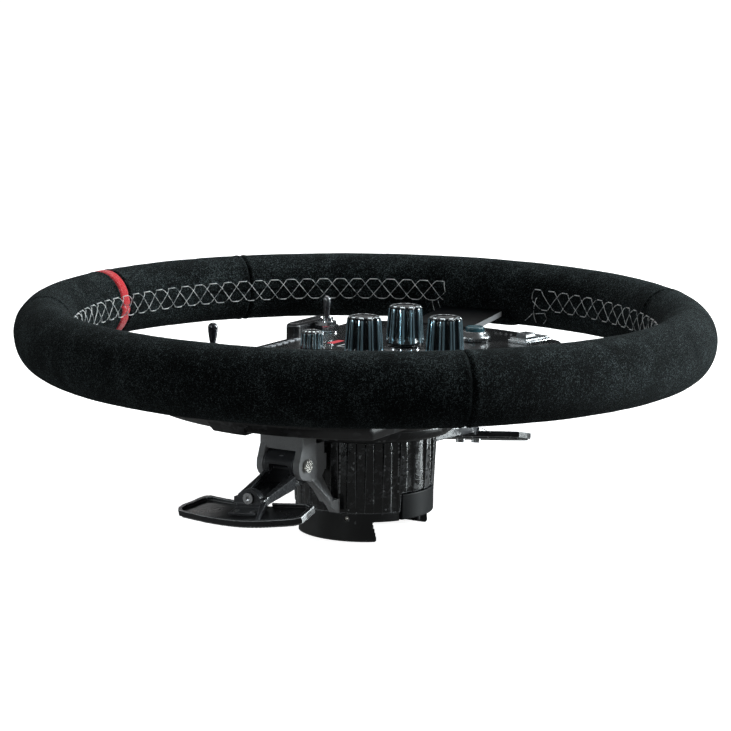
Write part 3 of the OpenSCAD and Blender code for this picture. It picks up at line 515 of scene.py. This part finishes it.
def nearest(arr, az):
    i = np.searchsorted(arr, az)
    best = 1e9
    for j in (i - 1, i):
        if 0 <= j < len(arr):
            best = min(best, abs(arr[j] - az))
    return best


def in_stretch(az):
    return any(a0 - 1 <= az <= a0 + n * p * DEG + 1 for a0, n, p in STITCH)


# arc distances round the section, finer near the inner line
def section_ts():
    half = math.pi * GB
    ts = [0.0]
    t = 0.0
    while t < half:
        step = 0.28 if t < 1.8 else (0.55 if t < 7 else 1.15)
        t += step
        ts.append(t)
    k = half / ts[-1]
    ts = [x * k if i > 12 else x for i, x in enumerate(ts)]
    ts[-1] = half
    return [-x for x in reversed(ts[1:])][1:] + ts


TS = section_ts()


def panel_us(a0, a1):
    L = math.radians(a1 - a0) * RM
    us, s = [0.0], 0.0
    while s < L:
        d = min(s, L - s)
        s += 0.3 if d < 2.4 else (0.6 if d < 5 else 1.15)
        us.append(s)
    us = [x * L / us[-1] for x in us]
    return us, L


def rim_panel(name, a0, a1, mat, node, band=False):
    us, L = panel_us(a0, a1)
    outer, inner = [], []
    nt_ = len(TS)
    for s in us:
        az = a0 + (a1 - a0) * s / L
        d = min(s, L - s)
        if band:
            edge = -0.75 * math.exp(-(d / 0.5) ** 2) + 0.22 * (1 - math.exp(-(d / 1.2) ** 2))
        else:
            edge = -0.85 * math.exp(-(d / 0.55) ** 2) + 0.26 * math.exp(-((d - 1.7) / 1.0) ** 2)
        st = in_stretch(az)
        du = nearest(HOLES_UP, az) / DEG if st else 9
        dd = nearest(HOLES_DN, az) / DEG if st else 9
        for t in TS:
            h = edge
            at = abs(t)
            if at < 3 and st:
                h += -0.75 * math.exp(-(t / 0.5) ** 2) + 0.14 * math.exp(-((at - 1.4) / 0.8) ** 2)
            if at < 9 and st:
                dh = math.hypot(du, t - ROW) if t > 0 else math.hypot(dd, t + ROW)
                h -= 0.30 * math.exp(-(dh / 0.8) ** 2)
                h -= 0.10 * math.exp(-((at - ROW) / 0.9) ** 2)
                h += 0.12 * math.exp(-((at - 2.6) / 1.2) ** 2)
            p = rim_pt(az, t, 0.0) * 1000
            h += 0.14 * noise.noise(p * 0.055) + 0.07 * noise.noise(p * 0.17) + 0.035 * noise.noise(p * 0.62)
            outer.append(rim_pt(az, t, h))
            inner.append(rim_pt(az, t, -1.15))
    vs = outer + inner
    off = len(outer)
    fs = []
    nu = len(us)
    for i in range(nu - 1):
        for j in range(nt_):
            k = (j + 1) % nt_
            a, b, c, d = i * nt_ + j, i * nt_ + k, (i + 1) * nt_ + k, (i + 1) * nt_ + j
            fs.append((a, d, c, b))
            fs.append((off + a, off + b, off + c, off + d))
    for i, flip in ((0, False), (nu - 1, True)):
        for j in range(nt_):
            k = (j + 1) % nt_
            a, b = i * nt_ + j, i * nt_ + k
            q = (a, b, off + b, off + a)
            fs.append(q[::-1] if flip else q)
    ob = to_obj(name, vs, fs, mat, True, 60.0)
    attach(ob, "wheel")
    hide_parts(node)
    return ob


H = 1.4
S1 = 55.6
panels = [
    rim_panel("vis_suede_top_right", S1 + 0.04, 90 - H - 0.02, M["suede"], "suede_top_right"),
    rim_panel("vis_suede_top_left", 90 + H + 0.02, 180 - S1 - 0.04, M["suede"], "suede_top_left"),
    rim_panel("vis_suede_left", 180 - S1 + 0.04, 226 - 0.04, M["suede"], "suede_left"),
    rim_panel("vis_suede_bottom", 226.04, 314 - 0.04, M["suede"], "suede_bottom"),
    rim_panel("vis_suede_right", 314.04 - 360, S1 - 0.04, M["suede"], "suede_right"),
    rim_panel("vis_centre_band", 90 - H, 90 + H, M["band"], "centre_band", band=True),
]


# stitching: a net of two-ply thread laced across the inner seam
def lace(a_s, t0, a_e, t1, lift=0.42, over=1, steps=26):
    """Control line from one hole to another, both ends dipping into the skin."""
    pts = []
    for i in range(steps + 1):
        f = i / steps
        az = a_s + (a_e - a_s) * f
        t = t0 + (t1 - t0) * f
        e = min(f, 1 - f) * steps
        h = lift * min(1.0, e / 2.0) - 0.55 * max(0.0, 1 - e / 1.6)
        # over and under at the two crossings
        x = abs(t0 - t1)
        if x > 1:
            c1 = math.exp(-((t - 2.3) / 0.9) ** 2)
            c2 = math.exp(-((t + 2.3) / 0.9) ** 2)
            h += 0.22 * over * (c1 - c2)
        pts.append(rim_pt(az, t, h))
    return pts


def two_ply(path, r, lay=1.35):
    """Two strands twisted round the path, in mm units of lay."""
    P = [Vector(p) * 1000 for p in path]
    s = 0.0
    a, b = [], []
    up = None
    for i, p in enumerate(P):
        d = (P[min(i + 1, len(P) - 1)] - P[max(i - 1, 0)]).normalized()
        if up is None:
            up = Vector((0, 0, 1)) if abs(d.z) < 0.9 else Vector((1, 0, 0))
        side = d.cross(up).normalized()
        up = side.cross(d).normalized()
        if i:
            s += (p - P[i - 1]).length
        w = 2 * math.pi * s / lay
        o = (side * math.cos(w) + up * math.sin(w)) * (r * 0.82)
        a.append((p + o) * MM)
        b.append((p - o) * MM)
    return a, b


def resample(path, step=0.32):
    P = [Vector(p) for p in path]
    out = [P[0]]
    for q0, q1 in zip(P, P[1:]):
        n = max(1, int(round((q1 - q0).length * 1000 / step)))
        for i in range(1, n + 1):
            out.append(q0.lerp(q1, i / n))
    return out


threads, dashes = [], []
for a0, n, p in STITCH:
    def A(x):
        return a0 + x * DEG
    for k in range(n + 1):
        dashes.append(lace(A(k * p - DASH), ROW, A(k * p + DASH), ROW, 0.30, 1, 10))
        if k < n:
            dashes.append(lace(A((k + 0.5) * p - DASH), -ROW, A((k + 0.5) * p + DASH), -ROW, 0.30, 1, 10))
    for k in range(-1, n + 1):
        x0, x1 = k * p + DASH, (k + 1.5) * p - DASH
        if k >= 0 and k + 1 < n:
            threads.append(lace(A(x0), ROW, A(x1), -ROW, 0.40, 1 if k % 2 else -1))
        y0, y1 = k * p - DASH, (k - 1.5) * p + DASH
        if k >= 2 - 1 and k - 1.5 > -1 and k <= n:
            threads.append(lace(A(y0), ROW, A(y1), -ROW, 0.40, -1 if k % 2 else 1))
    # ends of the net, drawn in to the last holes
    threads.append(lace(A(0 * p - DASH), ROW, A(-0.35 * p), -0.5, 0.3, 1, 12))
    threads.append(lace(A(-0.35 * p), -0.5, A(0.5 * p - DASH), -ROW, 0.3, 1, 12))
    threads.append(lace(A(n * p + DASH), ROW, A(n * p + 0.35 * p), -0.5, 0.3, 1, 12))
    threads.append(lace(A(n * p + 0.35 * p), -0.5, A((n - 0.5) * p + DASH), -ROW, 0.3, 1, 12))
# where the net meets a spoke the thread curls down over the skin to the spoke
for side, base in ((1, 0.0), (-1, 180.0)):
    def C(x):
        return base + side * x
    threads.append(lace(C(-8.4), -ROW - 0.4, C(-7.9), -13.6, 0.3, 1, 20))
    threads.append(lace(C(-8.2), -6.6, C(-5.0), -13.0, 0.3, 1, 20))
    threads.append(lace(C(-8.2), -7.2, C(-11.2), -6.2, 0.3, 1, 14))
    threads.append(lace(C(-11.2), -6.2, C(-11.4), -9.2, 0.3, 1, 12))
    threads.append(lace(C(-11.4), -9.2, C(-9.6), -13.6, 0.3, 1, 16))
    threads.append(lace(C(-9.4), 1.2, C(-8.4), -ROW - 0.4, 0.3, 1, 16))
    threads.append(lace(C(13.9 + 0.4), -ROW, C(13.6), -11.0, 0.3, 1, 16))
    threads.append(lace(C(15.6), -ROW, C(15.2), -11.8, 0.3, 1, 16))
tv, tf, heavy = [], [], 0
for group, rad in ((dashes, 0.145), (threads, 0.105)):
    strands = []
    for path in group:
        strands += two_ply(resample(path), rad)
    gv, gf = tube(strands, rad * MM, 6)
    tf += [tuple(i + len(tv) for i in f) for f in gf]
    tv += gv
    heavy = heavy or len(gf)
stitching = to_obj("vis_rim_stitching", tv, tf, M["thread"], True, 70)
stitching.data.materials.append(M["thread_thin"])
for f in stitching.data.polygons:
    f.material_index = 0 if f.index < heavy else 1
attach(stitching, "wheel")
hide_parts("rim_stitching")


# suede wrapped over the root of each spoke
def spoke_boot(name, angle, y0, y1):
    """A sleeve of suede round the spoke, flaring into the grip."""
    ca, sa = math.cos(math.radians(angle)), math.sin(math.radians(angle))
    rings = []
    stations = [(124.9, 0.30, 0.0), (124.6, 0.75, 0.0), (124.8, 1.1, 0.0), (125.5, 1.35, 0.1), (126.6, 1.7, 0.7),
                (127.8, 2.3, 1.9), (129.3, 3.2, 3.6), (131.0, 4.2, 5.6)]
    nseg = 72
    yc, hw = (y0 + y1) / 2, (y1 - y0) / 2
    vs, fs = [], []
    for (x, g, fl) in stations:
        # the spoke's own mid height here
        if x < 126:
            top = 75.1 + (x - 94) * (78.7 - 75.1) / 32
        else:
            top = 78.7 + (x - 126) * 0.22
        zc = top - 1.25
        hh = 1.25 + g
        ww = hw + g + fl * 0.5
        for k in range(nseg):
            a = 2 * math.pi * k / nseg
            c, s = math.cos(a), math.sin(a)
            e = 0.22
            yy = yc + ww * math.copysign(abs(c) ** e, c)
            zz = zc + (hh + fl * 0.35) * math.copysign(abs(s) ** 0.5, s)
            p = Vector((x, yy, zz))
            nn = 0.10 * noise.noise(p * 0.35)
            vs.append(((x * ca - yy * sa) * MM, (x * sa + yy * ca) * MM, (zz + nn) * MM))
    m = len(stations)
    for i in range(m - 1):
        for k in range(nseg):
            k2 = (k + 1) % nseg
            fs.append((i * nseg + k, i * nseg + k2, (i + 1) * nseg + k2, (i + 1) * nseg + k))
    fs.append(tuple(range(nseg)))
    fs.append(tuple((m - 1) * nseg + k for k in reversed(range(nseg))))
    ob = to_obj(name, vs, fs, M["suede"], True, 50)
    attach(ob, "wheel")
    return ob


spoke_boot("spoke_wrap_right", 0, -2.0, 30.5)
spoke_boot("spoke_wrap_lower", 270, -16.0, 16.0)
# the left one is the right one mirrored: same sleeve, turned half a turn about Z with its span mirrored
spoke_boot("spoke_wrap_left", 180, -30.5, 2.0)


# --------------------------------------------------------------------- knobs
def fluted_knob(name, body, node, cx, cy, z0, r1, r2, h, n, depth, seg_per=16):
    n_seg = n * seg_per
    prof = [(0.0, 0.9), (r1 - 2.6, 0.9), (r1 - 2.4, 0.0), (r1 - 0.35, 0.0), (r1, 0.35), (r1, 1.15)]
    top_r = r2
    for i in range(1, 15):
        f = i / 15
        z = 1.15 + (h - 2.1 - 1.15) * f
        prof.append((r1 + (top_r - r1) * (z / h), z))
    for k in range(0, 7):
        a = math.radians(15 * k)
        prof.append((top_r - 1.5 + 1.5 * math.cos(a), h - 1.6 + 1.6 * math.sin(a)))
    prof += [(top_r - 2.1, h - 0.02), (top_r - 2.5, h - 0.25), (top_r - 2.7, h - 0.62), (top_r - 3.2, h - 0.75), (0.0, h - 0.62)]

    def mod(r, z, t):
        zz = z * 1000
        rr = r * 1000
        if zz < 1.2 or rr < top_r - 2.3:
            return r
        ph = (t * n / (2 * math.pi) + 0.5) % 1.0
        x = abs(ph - 0.5) * 2          # 0 in the middle of a flute
        w = 0.62
        g = 0.0 if x > w else (math.cos(x / w * math.pi / 2)) ** 0.8
        fade = min(1.0, (zz - 1.2) / 1.6)
        if zz > h - 1.0:
            fade *= max(0.0, 1 - (zz - (h - 1.0)) / 1.1) * 0.9 + 0.1
        return r - depth * MM * g * fade

    prof = [(max(0.0, r) * MM, z * MM) for r, z in prof]
    ob = lathe(prof, n_seg, M["knob"], name, (cx * MM, cy * MM, z0 * MM), mod, 50)
    ob.data.materials.append(M["knob_rib"])
    ob.data.materials.append(M["knob_rim"])
    # rib flanks take the painted highlight material, the outer top rim the painted glint; flutes keep the dark knob
    # colour
    for f in ob.data.polygons:
        c = f.center
        dx, dy, zz = c.x * 1000 - cx, c.y * 1000 - cy, c.z * 1000 - z0
        rr = math.hypot(dx, dy)
        ph = (math.atan2(dy, dx) * n / (2 * math.pi) + 0.5) % 1.0
        x = abs(ph - 0.5) * 2
        if zz > h - 1.15 and rr > top_r - 2.3:
            f.material_index = 2 if x > 0.5 and zz > h - 0.5 else 0
        elif rr > top_r - 2.0 and zz > 1.2 and 0.50 < x < 0.88:
            f.material_index = 1
    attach(ob, body)
    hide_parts(node)
    return ob


KNOBS = {"left": (-17.7, -9.3), "right": (17.7, -9.3), "lower": (0, -38.6)}
for nm, (x, y) in KNOBS.items():
    fluted_knob("vis_knob_" + nm, "knob_" + nm, "knob_" + nm, x, y, 79.0, 8.4, 7.2, 17.0, 10, 1.05)
fluted_knob("vis_small_knob", "small_knob", "small_knob", 0, 27, 75.4, 5.05, 4.75, 8.6, 12, 0.45, 12)


# ------------------------------------------------------------------- toggles
def toggle(name, body, node, x, y, tip, mat):
    prof = [(0, -1.6)]
    for k in range(1, 9):
        a = math.radians(-90 + 15 * k)
        prof.append((1.6 * math.cos(a), 1.6 * math.sin(a)))
    prof += [(1.16, 1.25), (1.15, 2.4), (1.17, 5.0), (tip * 0.86, 8.6), (tip * 0.97, 10.6), (tip, 12.0)]
    for k in range(1, 8):
        a = math.radians(12.8 * k)
        prof.append((tip * math.cos(a), 12.2 + tip * math.sin(a)))
    prof.append((0, 12.2 + tip))
    ob = lathe([(r * MM, z * MM) for r, z in prof], 40, mat, name, (x * MM, y * MM, 77.5 * MM))
    # the cross pin the lever tips on
    bm = bmesh.new()
    bm.from_mesh(ob.data)
    pv = bmesh.ops.create_cone(bm, cap_ends=True, segments=24, radius1=1.03 * MM, radius2=1.03 * MM, depth=3.4 * MM)["verts"]
    bmesh.ops.transform(bm, verts=pv, matrix=Matrix.Translation((x * MM, y * MM, 77.5 * MM)) @ Matrix.Rotation(math.pi / 2, 4, "Y"))
    bm.to_mesh(ob.data)
    bm.free()
    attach(ob, body)
    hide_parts(node)
    return ob


toggle("vis_toggle_left", "toggle_left", "toggle_lever_left", -47, 47.6, 2.1, M["tog_dark"])
# the right toggle takes the dark plastic with painted edge highlights
toggle("vis_toggle_right", "toggle_right", "toggle_lever_right", 47, 47.6, 1.75, M["tog_painted_highlight"])


# ------------------------------------------------------------ round buttons
for s, nm in ((-1, "left"), (1, "right")):
    prof = [(0, 72.6), (4.1, 72.6), (4.3, 72.8), (4.3, 80.2)]
    for k in range(1, 7):
        a = math.radians(15 * k)
        prof.append((3.5 + 0.8 * math.cos(a), 80.3 + 0.9 * math.sin(a)))
    prof += [(2.6, 81.08), (1.3, 80.92), (0, 80.86)]
    ob = lathe([(r * MM, z * MM) for r, z in prof], 64, M["teal"], "vis_round_button_" + nm, (s * 64.6 * MM, -18.8 * MM, 0))
    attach(ob, "round_button_" + nm)
    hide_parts("round_button_" + nm)


# -------------------------------------------------- softened moulded CAD parts
SOFT = [
    ("rear_housing", "wheel", 0.55, "housing", "housing_composite", 3, 0.30),
    ("hub_flange", "wheel", 0.40, "flange", "housing_composite", 3, 0.35),
    ("hub_sleeve", "wheel", 0.24, "hub", "black_plastic", 2, 0.75),
    ("quick_release_ring", "wheel", 0.26, "qr", "black_plastic", 3, 0.40),
    ("release_latch", "release_latch", 0.22, "latch", "black_plastic", 3, 0.35),
    ("toggle_guard_left", "wheel", 0.25, "guard", "black_plastic", 3, 0.35),
    ("toggle_guard_right", "wheel", 0.25, "guard", "black_plastic", 3, 0.35),
    ("paddle_bracket_left", "wheel", 0.20, "bracket", "bracket_grey", 3, 0.40),
    ("paddle_bracket_right", "wheel", 0.20, "bracket", "bracket_grey", 3, 0.40),
    ("paddle_lever_left", "paddle_left", 0.20, "lever", "lever_grey", 3, 0.40),
    ("paddle_lever_right", "paddle_right", 0.20, "lever", "lever_grey", 3, 0.40),
    ("paddle_blade_left", "paddle_left", 0.20, "blade", "blade_black", 3, 0.40),
    ("paddle_blade_right", "paddle_right", 0.20, "blade", "blade_black", 3, 0.40),
    ("square_button_left", "square_button_left", 0.16, "grey_cap", "grey_cap", 2, 0.4),
    ("square_button_right", "square_button_right", 0.16, "grey_cap", "grey_cap", 2, 0.4),
    ("square_button_bezels", "wheel", 0.16, "bezel", "chrome", 2, 0.4),
    ("round_button_bezels", "wheel", 0.16, "bezel", "chrome", 2, 0.4),
]
for node, body, vox, mk, slot, it, keep in SOFT:
    o = soften(node, "vis_" + node, vox * MM, M[mk], it, keep)
    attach(o, body)


# ------------------------------------------------------------- plate inlays
def inlay_boxes(name, boxes, mat, z0=75.0, t=0.10):
    vs, fs = [], []
    for (x0, y0, x1, y1) in boxes:
        b = 0.12
        i = len(vs)
        for z, g in ((z0, 0.0), (z0 + t * 0.6, 0.0), (z0 + t, b)):
            for (x, y) in ((x0 + g, y0 + g), (x1 - g, y0 + g), (x1 - g, y1 - g), (x0 + g, y1 - g)):
                vs.append((x * MM, y * MM, z * MM))
        for r in (0, 1):
            for k in range(4):
                k2 = (k + 1) % 4
                fs.append((i + r * 4 + k, i + r * 4 + k2, i + (r + 1) * 4 + k2, i + (r + 1) * 4 + k))
        fs.append((i + 3, i + 2, i + 1, i))
        fs.append((i + 8, i + 9, i + 10, i + 11))
    ob = to_obj(name, vs, fs, mat, False)
    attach(ob, "wheel")
    return ob


inlay_boxes("plate_red_bars", [(20.8, 28.4, 30.2, 31.6), (-30.2, 28.4, -20.8, 31.6)], M["mark_red"])
frames = []
for sx in (1, -1):
    x0, x1 = sorted((sx * 16, sx * 31))
    frames += [(x0, 18.0, x1, 18.6), (x0, 23.4, x1, 24.0), (x0, 18.6, x0 + 0.6, 23.4), (x1 - 0.6, 18.6, x1, 23.4)]
for cx, cy in KNOBS.values():
    for k in range(12):
        a = math.radians(30 * k + 15)
        px_, py_ = cx + 10.9 * math.cos(a), cy + 10.9 * math.sin(a)
        frames.append((px_ - 0.45, py_ - 0.45, px_ + 0.45, py_ + 0.45))
inlay_boxes("plate_white_marks", frames, M["mark_white"])

# the small locking screw in the side of the ring, its face just inside the hole
prof = [(0, 0), (0.92, 0), (0.92, 2.6), (0.78, 2.85), (0.55, 2.85), (0.5, 2.2), (0, 2.0)]
screw = lathe([(r * MM, z * MM) for r, z in prof], 6 * 6, M["pin"], "ring_set_screw")
screw.data.transform(Matrix.Rotation(math.radians(196), 4, "Z") @ Matrix.Translation((26.3 * MM, 0, 10.2 * MM)) @ Matrix.Rotation(math.pi / 2, 4, "Y"))
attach(screw, "wheel")

# ------------------------------------------------ CAD nodes that stay as drawn
KEEP = {
    "spoke_frame": "frame", "rim_core": "steel", "rim_foam": "foam", "face_plate": "plate", "circuit_board": "board",
    "cover_screws": "dark_screw", "rev_light_lenses": "lens", "status_lights": "silver",
    "knob_shaft_left": "shaft", "knob_shaft_right": "shaft", "knob_shaft_lower": "shaft", "small_knob_shaft": "shaft",
    "knob_collars": "chrome", "rotary_switch_bodies": "switch", "toggle_bushings": "chrome", "toggle_nuts": "chrome",
    "toggle_switch_bodies": "switch", "button_switch_bodies": "switch", "hub_bolts": "steel", "latch_spring": "steel",
    "contact_block": "qr", "paddle_screws_left": "steel", "paddle_screws_right": "steel",
    "paddle_magnet_left": "magnet", "paddle_magnet_right": "magnet", "stop_magnets": "magnet", "hinge_pins": "pin",
    "shift_switches": "switch",
}
for n, k in KEEP.items():
    o = NODES[n]
    if not o.material_slots:
        o.data.materials.append(M[k])
    for s in o.material_slots:
        s.material = M[k]
left = [n for n, o in NODES.items() if n not in KEEP and not o.hide_render]
if left:
    print("NOT DRESSED:", left)

# ------------------------------------------------------------ floor and light
me = bpy.data.meshes.new("floor")
me.from_pydata([(-12, -12, -0.0002), (12, -12, -0.0002), (12, 12, -0.0002), (-12, 12, -0.0002)], [], [(0, 1, 2, 3)])
floor = bpy.data.objects.new("floor", me)
COL.objects.link(floor)
fm, fnt, fb = new_mat("floor_pale")
fb.inputs["Base Color"].default_value = (0.82, 0.82, 0.82, 1)
fb.inputs["Roughness"].default_value = 0.9
fb.inputs["Specular IOR Level"].default_value = 0.0
fb.inputs["Emission Color"].default_value = (1, 1, 1, 1)
fb.inputs["Emission Strength"].default_value = 0.92
me.materials.append(fm)
floor.visible_diffuse = False
floor.visible_glossy = False

w = bpy.data.worlds.new("world")
SC.world = w
w.use_nodes = True
bg = w.node_tree.nodes["Background"]
bg.inputs["Color"].default_value = (0.97, 1.0, 1.0, 1)
bg.inputs["Strength"].default_value = 0.14


def area(name, loc, target, size, power, col=(1, 1, 1), size_y=None):
    ld = bpy.data.lights.new(name, "AREA")
    ld.energy = power
    ld.color = col
    ld.size = size
    if size_y:
        ld.shape = "RECTANGLE"
        ld.size_y = size_y
    lo = bpy.data.objects.new(name, ld)
    COL.objects.link(lo)
    lo.location = loc
    d = Vector(target) - Vector(loc)
    lo.rotation_euler = d.to_track_quat("-Z", "Y").to_euler()
    return lo


C = Vector((0, 0, 0.07))
# camera right is (0.50, -0.86, 0), away from camera is (0.85, 0.50, 0)
rt, aw = Vector((0.502, -0.865, 0)), Vector((0.865, 0.502, 0))
COOL = (0.90, 0.98, 1.0)
area("key_right", C + rt * 1.5 + aw * 0.45 + Vector((0, 0, 0.36)), C, 0.6, 30, COOL, 1.0)
area("high_right", C + rt * 1.0 - aw * 0.15 + Vector((0, 0, 0.95)), C, 0.5, 9, COOL)
area("side_left", C - rt * 1.5 - aw * 0.05 + Vector((0, 0, 0.34)), C, 0.4, 4.0, COOL, 1.0)
area("top_back", C + aw * 1.1 + Vector((0, 0, 1.3)), C, 1.2, 9.5)
# two strips that only show as highlights on glossy parts
for g in (
    area("gloss_right", C + rt * 1.45 + aw * 0.30 + Vector((0, 0, 0.10)), C, 0.30, 34, COOL, 0.9),
    area("gloss_left", C - rt * 0.8 - aw * 1.15 + Vector((0, 0, 0.42)), C, 0.10, 5, COOL, 0.8),
):
    g.visible_diffuse = False
